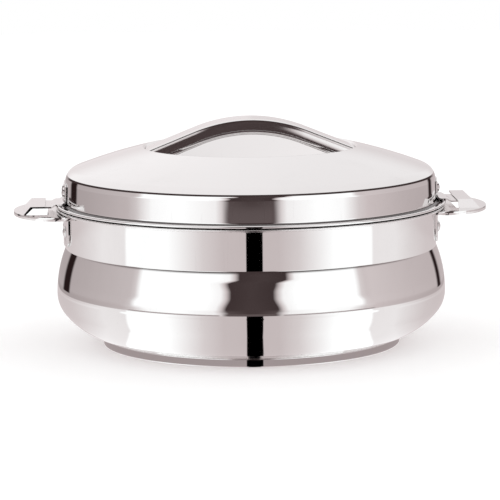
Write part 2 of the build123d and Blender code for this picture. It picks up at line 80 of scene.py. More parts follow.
# Bowl and its rolled rim
SIDE_FOAM, FLOOR_FOAM = 10.4, 9.2
BOWL_RADIUS = NECK_RADIUS - SHEET - SIDE_FOAM - SHEET
BOWL_FLOOR = FOOT_HEIGHT + FLOOR_FOAM + 2 * SHEET
BOWL_CORNER, BOWL_EDGE = 22.0, 1.4
ROLL_DEPTH, ROLL_HEIGHT, ROLL_ROUND = 1.6, 1.8, 0.75
ROLL_TURN, ROLL_TAIL = 0.2, 0.5        # roll's hidden end

# Lid's underside
SEAT_GAP, TURN_GAP = 0.3, 0.3          # under the liner, and between it and the cover
LINER_LEVEL = POT_HEIGHT + SEAT_GAP
LINER_INSET, LINER_CREASE = 0.6, 0.8   # inset: the liner's edge inside the bead
SPIGOT_RADIUS = BOWL_RADIUS - 1.5
SPIGOT_DEPTH, SPIGOT_CORNER = 5.0, 3.0

# Lid's cover
FLANGE_TOP = LINER_LEVEL + SHEET + TURN_GAP + SHEET
BEAD, BEAD_FILLET = 0.9, 0.7
BEAD_TURN, BEAD_TAIL = 0.2, 0.6        # bead's hidden end
BEAD_CENTRE = LID_RADIUS - BEAD
FLANGE_BEND = 2.0
SKIRT_HEIGHT, SKIRT_DRAFT = 15.4, 2.0
SHOULDER, DOME_START, DOME_BEND = 9.0, 20.9, 350.0
RECESS_RADIUS, RECESS_DEPTH, RECESS_SLOPE = 72.0, 19.0, 60.0
RECESS_EDGE, RECESS_CORNER = 2.0, 8.0

# Grip
GRIP_RISE, GRIP_SINK, GRIP_SLOPE = 18.8, 1.5, 21.8
GRIP_DEPTH, GRIP_WIDTH, GRIP_SEAM = 10.4, 30.0, 3.2
GRIP_BARREL = 19.0           # bend of the grip's sides
GRIP_WIDEST = 8.4            # below the top, where the sides are upright
GRIP_CORNER, GRIP_LIP = 1.3, 2.0       # between a side and the flat top or underside
SEAM_GAP, SEAM_ROUND = 0.05, 0.12
END_GAP = 0.05               # grip's ends short of the recess's wall

# Steps of the meshes
TURNS = 360                  # round each revolved piece
LINE_STEP, BEND_STEP = 4.0, 5.0        # longest along an outline, and degrees on its bends
GRIP_STEPS, END_STEPS = 64, 12

# Lid: the skirt leans in, and the dome is the circle that leaves its shoulder smoothly.
DRAFT = math.radians(SKIRT_DRAFT)
SLOPE = math.radians(RECESS_SLOPE)
SKIRT_LOW = FLANGE_TOP + FLANGE_BEND * (1 - math.sin(DRAFT))
DOME_LOW = FLANGE_TOP + SKIRT_HEIGHT
SKIRT_TOP = NECK_RADIUS - (DOME_LOW - SKIRT_LOW) * math.tan(DRAFT)
DOME_ANGLE = math.radians(90 - DOME_START)
DOME_X = SKIRT_TOP - SHOULDER * math.cos(DRAFT) + (SHOULDER - DOME_BEND) * math.cos(DOME_ANGLE)
DOME_Z = DOME_LOW - SHOULDER * math.sin(DRAFT) + (SHOULDER - DOME_BEND) * math.sin(DOME_ANGLE)
EDGE_SHARE = (RECESS_RADIUS - DOME_X) / (DOME_BEND - RECESS_EDGE)
EDGE_ANGLE = math.degrees(math.asin(EDGE_SHARE))
EDGE_Z = DOME_Z + (DOME_BEND - RECESS_EDGE) * math.sqrt(1 - EDGE_SHARE ** 2)
EDGE_TOP = EDGE_Z + RECESS_EDGE
RECESS_FLOOR = EDGE_TOP - RECESS_DEPTH
WALL_TOP = EDGE_Z + RECESS_EDGE * math.cos(SLOPE)


def wall_radius(height):
    """Radius of the recess's sloping wall at a height."""
    return RECESS_RADIUS - RECESS_EDGE * math.sin(SLOPE) - (WALL_TOP - height) / math.tan(SLOPE)


# Grip: an arc between straight ends that reach the recess's wall a little below its edge.
GRIP_ANGLE = math.radians(GRIP_SLOPE)
END_DROP = wall_radius(EDGE_TOP - GRIP_SINK) * math.tan(GRIP_ANGLE) - GRIP_RISE - GRIP_SINK
GRIP_BEND = END_DROP / (1 / math.cos(GRIP_ANGLE) - 1)
GRIP_ARC_Z = GRIP_TOP - GRIP_BEND


# ---------------------------------------------------------------- outlines
def trimmed(moves):
    """Moves with each crease made a bend of its own radius, its tangent length taken off
    the moves beside it."""
    moves = [list(m) for m in moves]
    for i, move in enumerate(moves):
        if move[0] != "crease":
            continue
        _, turn, radius = move
        cut = radius * math.tan(math.radians(abs(turn)) / 2)
        for other in (moves[i - 1], moves[i + 1]):
            if other[0] == "run":
                other[1] -= cut
            else:
                other[2] -= math.copysign(math.degrees(cut / other[1]), other[2])
        moves[i] = ["bend", radius, turn]
    return moves


def outline(start, heading, moves):
    """Points of a line in the (radius, height) plane, its left-hand normals, and where it
    ends. A move is ("run", length), ("bend", radius, turn) or ("crease", turn, radius), with
    turns in degrees, positive to the left. Each move leaves the last one smoothly: on a bend
    the point is the bend's centre plus its radius at the heading less a quarter turn."""
    point = np.array(start, float)
    angle = math.radians(heading)
    points = [point[None]]
    normals = [np.array([[-math.sin(angle), math.cos(angle)]])]
    for kind, size, *turn in trimmed(moves):
        if kind == "run":
            steps = max(1, math.ceil(size / LINE_STEP))
            share = np.linspace(0, 1, steps + 1)[1:, None]
            ahead = np.array([math.cos(angle), math.sin(angle)])
            line = point + share * size * ahead
            normal = np.repeat(normals[-1][-1:], steps, 0)
        else:
            sweep = math.radians(turn[0])
            by_turn = math.ceil(abs(turn[0]) / BEND_STEP)
            by_length = math.ceil(abs(sweep) * size / LINE_STEP)
            share = np.linspace(0, 1, max(3, by_turn, by_length) + 1)[1:]
            side = math.copysign(1, sweep)
            left = np.array([-math.sin(angle), math.cos(angle)])
            centre = point + side * size * left
            along = angle + sweep * share
            normal = np.stack([-np.sin(along), np.cos(along)], 1)
            line = centre - side * size * normal
            angle += sweep
        points.append(line)
        normals.append(normal)
        point = line[-1]
    return np.concatenate(points), np.concatenate(normals), (point, math.degrees(angle))


def sheet_section(start, heading, moves, wall, end_moves=None):
    """Closed section of a pressed sheet: an outline on its shown face, an end, and the same
    outline one wall behind, drawn backwards. The end is a half round unless moves are given.
    A start off the axis gets a half round too."""
    half_round = [("bend", wall / 2, -180)]
    face, normals, (point, angle) = outline(start, heading, moves)
    end, end_normals, _ = outline(point, angle, end_moves or half_round)
    parts = [face, end[1:], (face - wall * normals)[::-1]]
    part_normals = [normals, end_normals[1:], -normals[::-1]]
    if start[0] > 0:
        nose, nose_normals, _ = outline(parts[-1][-1], heading + 180, half_round)
        parts.append(nose[1:-1])
        part_normals.append(nose_normals[1:-1])
    return np.concatenate(parts), np.concatenate(part_normals)


# ---------------------------------------------------------------- meshes
def new_piece(name, verts, faces, normals, body, replaced):
    """Mesh object with its own vertex normals, riding on a body. Faces of more than four
    corners are flat caps."""
    mesh = bpy.data.meshes.new(name)
    mesh.from_pydata(verts, [], faces)
    mesh.shade_smooth()
    corners = normals[[loop.vertex_index for loop in mesh.loops]]
    for face in mesh.polygons:
        if face.loop_total > 4:
            corners[face.loop_start:face.loop_start + face.loop_total] = face.normal
    mesh.normals_split_custom_set(corners)
    piece = bpy.data.objects.new(name, mesh)
    bpy.context.scene.collection.objects.link(piece)
    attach(piece, body)
    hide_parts(*replaced)
    return piece


def circle(count):
    """Level directions round the axis, from the front to the right: (sin a, -cos a)."""
    angles = np.linspace(0, 2 * math.pi, count, endpoint=False)
    return np.stack([np.sin(angles), -np.cos(angles)], 1)


def revolved(section, normals):
    """A closed section in the (radius, height) plane turned about Z: point (r, h) at angle a
    is (r sin a, -r cos a, h). Rows whose radius is zero become one point at the axis."""
    around = circle(TURNS)
    poles = section[:, 0] < 1e-6
    verts, vert_normals, rows = [], [], []
    count = 0
    for (radius, height), (out, up), pole in zip(section, normals, poles):
        ring = around[:1] * 0 if pole else around * radius
        ring_normals = around[:1] * 0 if pole else around * out
        size = len(ring)
        up = math.copysign(1, up) if pole else up
        verts.append(np.column_stack([ring, np.full(size, height)]))
        vert_normals.append(np.column_stack([ring_normals, np.full(size, up)]))
        rows.append(np.full(TURNS, count) if pole else np.arange(count, count + TURNS))
        count += size
    faces = []
    pairs = list(zip(rows, rows[1:]))
    if not poles[0]:
        pairs.append((rows[-1], rows[0]))
    for low, high in pairs:
        quads = np.stack([low, np.roll(low, -1), np.roll(high, -1), high], 1)
        if low[0] == low[1] and high[0] == high[1]:
            continue
        if low[0] == low[1]:
            quads = quads[:, [0, 2, 3]]
        elif high[0] == high[1]:
            quads = quads[:, [0, 1, 2]]
        faces.extend(quads[:, ::-1].tolist())
    return np.concatenate(verts) * MM, faces, np.concatenate(vert_normals)


def revolved_piece(name, section, body, slot, *replaced):
    verts, faces, normals = revolved(*section)
    return new_piece(name, verts, faces, normals, body, replaced)


# ---------------------------------------------------------------- pot
def pot_shell():
    """Outside of the pot, from its flange under the rim down to the turned-in foot edge. The
    flare under the neck is upright at the belly. The arc to the foot leaves the shoulder
    smoothly: its radius is the half chord squared over the chord's offset."""
    flare_rise = NECK_LOW - BELLY_HIGH
    waist = BELLY_RADIUS - NECK_RADIUS
    flare = (waist ** 2 + flare_rise ** 2) / (2 * waist)
    flare_turn = math.degrees(math.asin(flare_rise / flare))
    turn = math.radians(SHOULDER_TURN)
    run = BELLY_RADIUS - SHOULDER_BEND * (1 - math.cos(turn)) - FOOT_RADIUS
    drop = BELLY_LOW - SHOULDER_BEND * math.sin(turn) - FOOT_HEIGHT
    bottom = (run ** 2 + drop ** 2) / (2 * (run * math.cos(turn) - drop * math.sin(turn)))
    bottom_turn = 2 * math.degrees(math.atan2(run, drop)) - 2 * SHOULDER_TURN
    flange = POT_HEIGHT - 2 * SHEET
    edge = BELLY_RADIUS - SHELL_EDGE
    moves = [
        ("run", edge - NECK_RADIUS),
        ("crease", 90, RIM_CREASE),
        ("run", flange - NECK_LOW),
        ("crease", flare_turn, NECK_CREASE),
        ("bend", flare, -flare_turn),
        ("run", BELLY_HIGH - BELLY_LOW),
        ("bend", SHOULDER_BEND, -SHOULDER_TURN),
        ("bend", bottom, -bottom_turn),
        ("crease", bottom_turn + SHOULDER_TURN - 90, FOOT_CREASE),
        ("run", FOOT_LAP),
    ]
    return sheet_section((edge, flange), 180, moves, SHEET)


def serving_bowl():
    """Inside of the pot, from the middle of its floor to the rolled rim."""
    moves = [
        ("run", BOWL_RADIUS - BOWL_CORNER),
        ("bend", BOWL_CORNER, 90),
        ("run", POT_HEIGHT - BOWL_FLOOR - BOWL_CORNER),
        ("crease", -90, BOWL_EDGE),
        ("run", BELLY_RADIUS - ROLL_DEPTH - BOWL_RADIUS),
    ]
    roll = [
        ("run", ROLL_DEPTH - ROLL_ROUND),
        ("bend", ROLL_ROUND, -90),
        ("run", ROLL_HEIGHT - 2 * ROLL_ROUND),
        ("bend", ROLL_ROUND, -90),
        ("run", ROLL_DEPTH - ROLL_ROUND - ROLL_TURN),
        ("bend", ROLL_TURN, -90),
        ("run", ROLL_HEIGHT - SHEET - ROLL_TURN),
        ("crease", 90, ROLL_TURN),
        ("run", ROLL_TAIL),
    ]
    return sheet_section((0, BOWL_FLOOR), 0, moves, SHEET, roll)


def foot_plate():
    """Base of the pot: a disc turned down and in again to the edge that it stands on."""
    moves = [
        ("run", FOOT_RADIUS),
        ("crease", -90, FOOT_ROUND),
        ("run", FOOT_HEIGHT),
        ("crease", -90, FOOT_ROUND),
        ("run", FOOT_LAND),
    ]
    return sheet_section((0, FOOT_HEIGHT), 0, moves, BASE_SHEET)


# ---------------------------------------------------------------- lid
def lid_cover():
    """Lid from the middle of its recess, over the dome and down to the rolled edge."""
    drop = WALL_TOP - RECESS_FLOOR - RECESS_CORNER * (1 - math.cos(SLOPE))
    middle = wall_radius(WALL_TOP - drop) - RECESS_CORNER * math.sin(SLOPE)
    reach = math.sqrt(BEAD ** 2 + 2 * BEAD * BEAD_FILLET)
    rise = math.degrees(math.atan2(BEAD_FILLET, reach))
    flange_start = NECK_RADIUS + FLANGE_BEND * math.cos(DRAFT)
    under = math.degrees(math.asin(SHEET / BEAD))
    moves = [
        ("run", middle),
        ("bend", RECESS_CORNER, RECESS_SLOPE),
        ("run", drop / math.sin(SLOPE)),
        ("bend", RECESS_EDGE, -RECESS_SLOPE - EDGE_ANGLE),
        ("bend", DOME_BEND, EDGE_ANGLE - DOME_START),
        ("bend", SHOULDER, DOME_START + SKIRT_DRAFT - 90),
        ("run", (DOME_LOW - SKIRT_LOW) / math.cos(DRAFT)),
        ("bend", FLANGE_BEND, 90 - SKIRT_DRAFT),
        ("run", BEAD_CENTRE - reach - flange_start),
    ]
    bead = [
        ("bend", BEAD_FILLET, 90 - rise),
        ("bend", BEAD, rise - 360 + under),
        ("crease", 90 - under, BEAD_TURN),
        ("run", BEAD_TAIL),
    ]
    return sheet_section((0, RECESS_FLOOR), 0, moves, SHEET, bead)


def lid_liner():
    """Underside of the lid: a flat rim and a shallow spigot that drops into the bowl."""
    edge = BEAD_CENTRE - BEAD - LINER_INSET
    moves = [
        ("run", edge - SPIGOT_RADIUS),
        ("crease", 90, LINER_CREASE),
        ("run", SPIGOT_DEPTH - SPIGOT_CORNER),
        ("bend", SPIGOT_CORNER, -90),
        ("run", SPIGOT_RADIUS - SPIGOT_CORNER),
    ]
    return sheet_section((edge, LINER_LEVEL), 180, moves, SHEET)


# ---------------------------------------------------------------- grip
def bridge(section, normals):
    """A closed section of (across, up) points carried along the bridge. A point at a depth
    below the top runs on a circle about the arc's centre, then straight on to where the
    recess's wall, a cone, meets that line: the larger root of a quadratic. Rows are the
    section's points, columns the steps along."""
    across, depth = section[:, :1], -section[:, 1:]
    radius = GRIP_BEND - depth
    angles = np.linspace(-GRIP_ANGLE, GRIP_ANGLE, GRIP_STEPS)[None]
    arc_x = radius * np.sin(angles)
    arc_z = GRIP_ARC_Z + radius * np.cos(angles)
    rise = 1 / math.tan(SLOPE)
    end_x, end_z = arc_x[:, -1:], arc_z[:, -1:]
    reach = wall_radius(end_z) - END_GAP
    forward, down = math.cos(GRIP_ANGLE), math.sin(GRIP_ANGLE)
    a = forward ** 2 - (rise * down) ** 2
    b = 2 * end_x * forward + 2 * rise * down * reach
    c = end_x ** 2 + across ** 2 - reach ** 2
    length = (-b + np.sqrt(b ** 2 - 4 * a * c)) / (2 * a)
    step = np.linspace(0, 1, END_STEPS + 1)[None, 1:] * length
    right_x, right_z = end_x + step * forward, end_z - step * down
    x = np.concatenate([-right_x[:, ::-1], arc_x, right_x], 1)
    z = np.concatenate([right_z[:, ::-1], arc_z, right_z], 1)
    y = np.repeat(across, x.shape[1], 1)
    end_tilt = np.full(END_STEPS, GRIP_ANGLE)
    tilt = np.concatenate([-end_tilt, angles[0], end_tilt])
    side, up = normals[:, :1], normals[:, 1:]
    side = np.repeat(side, x.shape[1], 1)
    normal = np.stack([up * np.sin(tilt), side, up * np.cos(tilt)], 2)
    return np.stack([x, y, z], 2), normal


def capped_tube(points, normals):
    """Faces over a grid whose rows close on each other, with a flat cap at both ends."""
    rows, columns = points.shape[:2]
    index = np.arange(rows * columns).reshape(rows, columns)
    after = np.roll(index, -1, 0)
    quads = np.stack([index[:, :-1], index[:, 1:], after[:, 1:], after[:, :-1]], 2)
    faces = quads.reshape(-1, 4).tolist()
    faces.append(index[:, 0].tolist())
    faces.append(index[::-1, -1].tolist())
    return points.reshape(-1, 3) * MM, faces, normals.reshape(-1, 3)


def grip_half(name, start, heading, moves, replaced):
    section, normals, _ = outline(start, heading, moves)
    verts, faces, vert_normals = capped_tube(*bridge(section[:-1], normals[:-1]))
    return new_piece(name, verts, faces, vert_normals, "lid", [replaced])


def make_grip():
    """The grip's two halves. Each section starts in the middle of its underside. A side is an
    arc about a point level with the grip's widest place, and a small arc inside it, touching
    both, turns it over to the top, the underside or the seam: the small arc's centre is the
    difference of their radii from the arc's centre, and its own radius from the flat."""
    middle = GRIP_WIDTH / 2 - GRIP_BARREL

    def side_angle(depth, small):
        return math.degrees(math.asin((GRIP_WIDEST - depth) / (GRIP_BARREL - small)))

    def flat(angle, small):
        return middle + (GRIP_BARREL - small) * math.cos(math.radians(angle))

    def half(top, top_round, low, low_round):
        high_angle = side_angle(top + top_round, top_round)
        low_angle = side_angle(low - low_round, low_round)
        side = [
            ("bend", low_round, -90 - low_angle),
            ("bend", GRIP_BARREL, low_angle - high_angle),
            ("bend", top_round, high_angle - 90),
        ]
        low_run = ("run", flat(low_angle, low_round))
        return [low_run, *side, ("run", 2 * flat(high_angle, top_round)), *side[::-1], low_run]

    seam = GRIP_DEPTH - GRIP_SEAM
    upper = half(0, GRIP_CORNER, seam, SEAM_ROUND)
    lower = half(seam + SEAM_GAP, SEAM_ROUND, GRIP_DEPTH, GRIP_LIP)
    return [
        grip_half("grip_upper", (0, -seam), 180, upper, "grip_top"),
        grip_half("grip_lower", (0, -GRIP_DEPTH), 180, lower, "grip_bottom"),
    ]


# ---------------------------------------------------------------- colours and shader parts
STEEL = (0.80, 0.785, 0.78, 1.0)
BLACK, WHITE = (0.0, 0.0, 0.0, 1.0), (1.0, 1.0, 1.0, 1.0)
PINK_SHARE, PINK_MOST = 0.155, 11      # red above green in grey light, display levels


def linear(level):
    """Linear value of a display level from 0 to 255."""
    share = level / 255
    return share / 12.92 if share <= 0.04045 else ((share + 0.055) / 1.055) ** 2.4


def shown(level):
    """Light that polished steel shows at a display level of green, its greys a little pink."""
    pink = min(PINK_MOST, PINK_SHARE * (255 - level))
    levels = (level + pink, level, level)
    return tuple(linear(t) / base for t, base in zip(levels, STEEL)) + (1.0,)


class Shader:
    """Adds nodes to a tree and joins them. A call that makes a value returns its socket."""

    def __init__(self, tree):
        self.tree = tree

    def give(self, socket, value):
        """Join another node's output to an input, or set the input to a constant."""
        if isinstance(value, bpy.types.NodeSocket):
            self.tree.links.new(value, socket)
        else:
            socket.default_value = value

    def node(self, kind, inputs=None, output=0, **settings):
        made = self.tree.nodes.new(kind)
        for key, value in settings.items():
            setattr(made, key, value)
        for key, value in (inputs or {}).items():
            self.give(made.inputs[key], value)
        return made.outputs[output] if made.outputs else made

    def math(self, operation, a, b=0.0):
        return self.node("ShaderNodeMath", {0: a, 1: b}, operation=operation)

    def total(self, first, *others):
        for other in others:
            first = self.math("ADD", first, other)
        return first

    def product(self, first, *others):
        for other in others:
            first = self.math("MULTIPLY", first, other)
        return first

    def less(self, a, b):
        return self.math("SUBTRACT", a, b)

    def size(self, value):
        return self.math("ABSOLUTE", value)

    def vector(self, operation, *inputs, output=0):
        return self.node("ShaderNodeVectorMath", dict(enumerate(inputs)), output,
                         operation=operation)

    def along(self, place, direction):
        return self.vector("DOT_PRODUCT", place, direction, output="Value")

    def scaled(self, colour, factor):
        return self.node("ShaderNodeVectorMath", {0: colour, "Scale": factor}, operation="SCALE")

    def smooth(self, value, start, end, low=0.0, high=1.0):
        """Goes smoothly from low to high as the value goes from start to end."""
        inputs = {"Value": value, "From Min": start, "From Max": end, "To Min": low, "To Max": high}
        return self.node("ShaderNodeMapRange", inputs, interpolation_type="SMOOTHSTEP")

    def past(self, value, limit, edge):
        """Rises from 0 to 1 within an edge each side of a limit, or falls if it is negative."""
        return self.smooth(value, limit - edge, limit + edge)

    def mix(self, factor, a, b):
        """Goes from colour a to colour b."""
        made = self.tree.nodes.new("ShaderNodeMix")
        made.data_type = "RGBA"
        inputs = {socket.identifier: socket for socket in made.inputs}
        for key, value in (("Factor_Float", factor), ("A_Color", a), ("B_Color", b)):
            self.give(inputs[key], value)
        return next(o for o in made.outputs if o.identifier == "Result_Color")

    def cards(self, place, cards):
        """Ramp through light cards, each a (place, display level)."""
        made = self.tree.nodes.new("ShaderNodeValToRGB")
        self.give(made.inputs[0], place)
        elements = made.color_ramp.elements
        for element, (at, level) in zip(elements, (cards[0], cards[-1])):
            element.position, element.color = at, shown(level)
        for at, level in cards[1:-1]:
            elements.new(at).color = shown(level)
        return made.outputs[0]

    def reflected(self):
        """1 where a reflection or glass sees the surface, not the camera or matt light."""
        path = self.node("ShaderNodeLightPath").node.outputs
        return self.math("MAXIMUM", path["Is Glossy Ray"], path["Is Transmission Ray"])

    def show(self, surface, kind="Material"):
        self.node(f"ShaderNodeOutput{kind}", {"Surface": surface})


def emptied(owner):
    """Shader of a world's or material's tree, with its first nodes taken out."""
    owner.use_nodes = True
    owner.node_tree.nodes.clear()
    return Shader(owner.node_tree)


# ---------------------------------------------------------------- camera
CAMERA_TURN = -3.307         # degrees round the pot from the front
CAMERA_DISTANCE = 1.8816     # from the pot's axis, metres
CAMERA_HEIGHT = 0.338
CAMERA_PITCH = 8.3655        # degrees down
CAMERA_ROLL = 0.5
CAMERA_LENS, CAMERA_SENSOR = 204.0, 36.0
CAMERA_RANGE = (0.05, 50.0)
PIXEL_WIDTH = 0.000672       # metres at the pot's axis
AXIS_OFFSET = 0.9            # pixels, the pot's axis right of the picture's middle

TURN, PITCH = math.radians(CAMERA_TURN), math.radians(CAMERA_PITCH)
RIGHT = (math.cos(TURN), math.sin(TURN), 0.0)
FRONT = (math.sin(TURN), -math.cos(TURN), 0.0)


def make_camera():
    """Camera at the viewing angle, level but for a pitch down and a slight roll."""
    height = Vector((0, 0, CAMERA_HEIGHT))
    place = Vector(FRONT) * CAMERA_DISTANCE + height
    drop = Vector((0, 0, CAMERA_DISTANCE * math.tan(PITCH)))
    aim = height - drop - Vector(RIGHT) * (AXIS_OFFSET * PIXEL_WIDTH)
    data = bpy.data.cameras.new("camera")
    data.lens, data.sensor_width = CAMERA_LENS, CAMERA_SENSOR
    data.clip_start, data.clip_end = CAMERA_RANGE
    camera = bpy.data.objects.new("camera", data)
    bpy.context.scene.collection.objects.link(camera)
    facing = (aim - place).to_track_quat("-Z", "Y").to_matrix().to_4x4()
    roll = Matrix.Rotation(math.radians(-CAMERA_ROLL), 4, "Z")
    camera.matrix_world = Matrix.Translation(place) @ facing @ roll
    bpy.context.scene.camera = camera


# ---------------------------------------------------------------- studio
# Light cards as polished steel shows them. A tilt is that of the steel that shows a direction
# from the front, in degrees up, and a share is how far it is off the pot's middle, from 0 to
# 1 at its side. A span is the length between the direction and the view, 0 straight behind
# the pot. A pair of them is where something starts and where it is complete.
SKIRTING_TILT, SKIRTING_EDGE = 1.43, 0.12        # between the table and the room
PLAIN_SPANS, PLAIN_LEVEL = (0.22, 0.12), 190     # straight behind the pot

TABLE_CARDS = [
    (0, 183), (0.14, 186), (0.24, 204), (0.42, 257), (0.614, 259), (0.626, 227), (0.74, 229),
    (0.9, 194), (1, 182),
]
GATHER_TILTS, GATHERED = (-28.0, -84.0), 0.61    # under the belly
UPRIGHT_TILTS, UPRIGHT_SHARE = (0.6, 0.25), 0.953          # on the neck
TABLE_SHIFT_SHARES, TABLE_SHIFT = (0.35, 0.6), 0.0102      # outer cards, to the left
STRIP_MIDDLE, STRIP_HALF, STRIP_EDGE = 0.0175, 0.0415, 0.002         # black

# The room's edges are softer just above the skirting.
ROOM_CARDS = [
    (0, 57), (0.106, 50), (0.13, 190), (0.158, 244), (0.22, 258), (0.548, 258), (0.575, 203),
    (0.6, 191), (1, 163),
]
LOW_CARDS = [
    (0, 57), (0.1, 70), (0.142, 206), (0.172, 238), (0.36, 258), (0.5, 251), (0.58, 203),
    (0.63, 184), (1, 152),
]
LOW_TILTS = (4.6, 3.2)
OUTER_SHARES, ROOM_SHIFTS = (0.2, 0.5), (-0.004, 0.016)
INNER_SPREADS = [((10.0, 4.0), 0.026), ((3.6, 2.7), -0.01), ((12.5, 16.5), 0.013)]
OUTER_SPREADS = [((9.0, 5.5), 0.024), ((3.6, 2.7), -0.02)]
GRIP_TILTS, GRIP_SHARES = (16.6, 18.5), (0.35, 0.2)
GRIP_SHIFT = 0.055           # room's middle to the right, where only the grip shows it
WALL_SHARES, WALL_LIGHT = (0.57, 0.62), 0.1      # wall lighter to the right
SIDE_STRIPS = [(-0.945, 0.015), (0.962, 0.007)]  # dark, each a middle and half its width
SIDE_STRIP_EDGES = (0.008, -0.004)
SIDE_STRIP_TILTS, SIDE_STRIP_LEVEL = (2.75, 3.3), 25
GLOW_SHARES, GLOW_TILTS, GLOW_LEVEL = (0.15, 0.1), (2.48, 2.38), 82
SKIRTING_TOP, SKIRTING_LEVEL = 2.0, 150
SKIRTING_SHARES, SKIRTING_END = (0.16, 0.62), 0.01
HEADER_SPANS, HEADER_TILT, HEADER_EDGE, HEADER_LEVEL = (0.3, 0.55), 21.5, 0.7, 50
CEILING_SPANS, CEILING_LEVEL, FAR_CEILING_LEVEL = (0.28, 0.58), 231, 206
CEILING_TILT, CEILING_EDGE, CEILING_FALL = 29.5, 0.5, 0.05

FLOOR_RADIUS, FLOOR_SIDES = 3.0, 96
FLOOR_COLOUR, FLOOR_GLOW = (0.74, 0.79, 0.79, 1.0), (0.36, 0.31, 0.31, 1.0)

FOOT_CARD_GAP, FOOT_CARD_LEVEL = 0.6, 147
FOOT_CARD_HEIGHTS = (0.1, 4.7)
FOOT_STRIP_MIDDLE, FOOT_STRIP_HALF, FOOT_STRIP_EDGE = 2.1, 5.4, 0.3


def table_light(s, across, tilt):
    """Light from below the skirting, with one black strip. The belly's underside gathers it,
    and the upright neck shows it a little wider."""
    gathered = s.smooth(tilt, *GATHER_TILTS, 1.0, GATHERED)
    upright = s.smooth(s.size(tilt), *UPRIGHT_TILTS, 1.0, UPRIGHT_SHARE)
    across = s.product(across, gathered, upright)
    shift = s.smooth(s.size(across), *TABLE_SHIFT_SHARES, 0.0, TABLE_SHIFT)
    table = s.cards(s.size(s.total(across, shift)), TABLE_CARDS)
    off_strip = s.size(s.less(across, STRIP_MIDDLE))
    return s.mix(s.past(off_strip, STRIP_HALF, -STRIP_EDGE), table, BLACK)


def room_light(s, across, tilt, span):
    """Light from above the skirting. The room's middle is dark, its white cards spread as the
    steel stands more upright, and a dark header parts them from the ceiling."""
    share = s.size(across)
    outer = s.smooth(share, *OUTER_SHARES)
    shift = s.smooth(share, *OUTER_SHARES, *ROOM_SHIFTS)
    near_middle = s.smooth(share, *GRIP_SHARES)
    for_grip = s.product(s.smooth(tilt, *GRIP_TILTS, 0.0, GRIP_SHIFT), near_middle)
    place = s.size(s.total(across, s.less(shift, for_grip)))
    spreads = []
    for steps in (INNER_SPREADS, OUTER_SPREADS):
        spreads.append(s.total(*[s.smooth(tilt, *tilts, 0.0, size) for tilts, size in steps]))
    spread = s.total(s.product(spreads[0], s.less(1.0, outer)), s.product(spreads[1], outer))
    place = s.less(place, spread)
    room = s.mix(s.smooth(tilt, *LOW_TILTS), s.cards(place, ROOM_CARDS), s.cards(place, LOW_CARDS))

    rightward = s.product(across, WALL_LIGHT, s.smooth(share, *WALL_SHARES))
    room = s.scaled(room, s.total(1.0, rightward))
    for middle, half in SIDE_STRIPS:
        away = s.size(s.less(across, middle))
        strip = s.smooth(away, *[half + edge for edge in SIDE_STRIP_EDGES])
        strip = s.product(strip, s.smooth(tilt, *SIDE_STRIP_TILTS))
        room = s.mix(strip, room, shown(SIDE_STRIP_LEVEL))
    glow = s.product(s.smooth(share, *GLOW_SHARES), s.smooth(tilt, *GLOW_TILTS))
    room = s.mix(glow, room, shown(GLOW_LEVEL))

    header = s.product(s.smooth(span, *HEADER_SPANS), s.past(tilt, HEADER_TILT, HEADER_EDGE))
    room = s.mix(header, room, shown(HEADER_LEVEL))
    ceiling = s.mix(s.smooth(span, *CEILING_SPANS), shown(FAR_CEILING_LEVEL), shown(CEILING_LEVEL))
    ceiling = s.scaled(ceiling, s.less(1.0, s.product(across, CEILING_FALL)))
    return s.mix(s.past(tilt, CEILING_TILT, CEILING_EDGE), room, ceiling)


def studio():
    """World: plain white to the camera and to matt surfaces, a room of light cards to
    reflections. A card's place is that of the steel that would show it from the front: the
    way half between the direction and the one back to the front."""
    world = bpy.data.worlds.new("studio")
    s = emptied(world)
    view = tuple(-level * math.cos(PITCH) for level in FRONT[:2]) + (-math.sin(PITCH),)
    direction = s.node("ShaderNodeTexCoord", output="Generated")
    apart = s.vector("SUBTRACT", direction, view)
    span = s.vector("LENGTH", apart, output="Value")
    half = s.vector("NORMALIZE", apart)
    upward = s.node("ShaderNodeSeparateXYZ", {0: half}, output="Z")
    level_part = s.math("SQRT", s.math("MAXIMUM", s.less(1.0, s.product(upward, upward)), 1e-6))
    across = s.math("DIVIDE", s.along(half, RIGHT), level_part)
    tilt = s.math("DEGREES", s.math("ARCSINE", upward))

    above = s.past(tilt, SKIRTING_TILT, SKIRTING_EDGE)
    light = s.mix(above, table_light(s, across, tilt), room_light(s, across, tilt, span))
    share = s.size(across)
    skirting = s.product(above, s.past(tilt, SKIRTING_TOP, -SKIRTING_EDGE),
                         s.past(share, SKIRTING_SHARES[0], SKIRTING_END),
                         s.past(share, SKIRTING_SHARES[1], -SKIRTING_END))
    light = s.mix(skirting, light, shown(SKIRTING_LEVEL))
    light = s.mix(s.smooth(span, *PLAIN_SPANS), light, shown(PLAIN_LEVEL))
    light = s.mix(s.reflected(), WHITE, light)
    s.show(s.node("ShaderNodeBackground", {"Color": light, "Strength": 1.0}), "World")
    bpy.context.scene.world = world


def stage_mesh(name, material_name, verts, faces):
    """Mesh object of the stage, and the Shader of its emptied material."""
    mesh = bpy.data.meshes.new(name)
    mesh.from_pydata(verts, [], faces)
    made = bpy.data.objects.new(name, mesh)
    bpy.context.scene.collection.objects.link(made)
    material = bpy.data.materials.new(material_name)
    mesh.materials.append(material)
    return made, emptied(material)


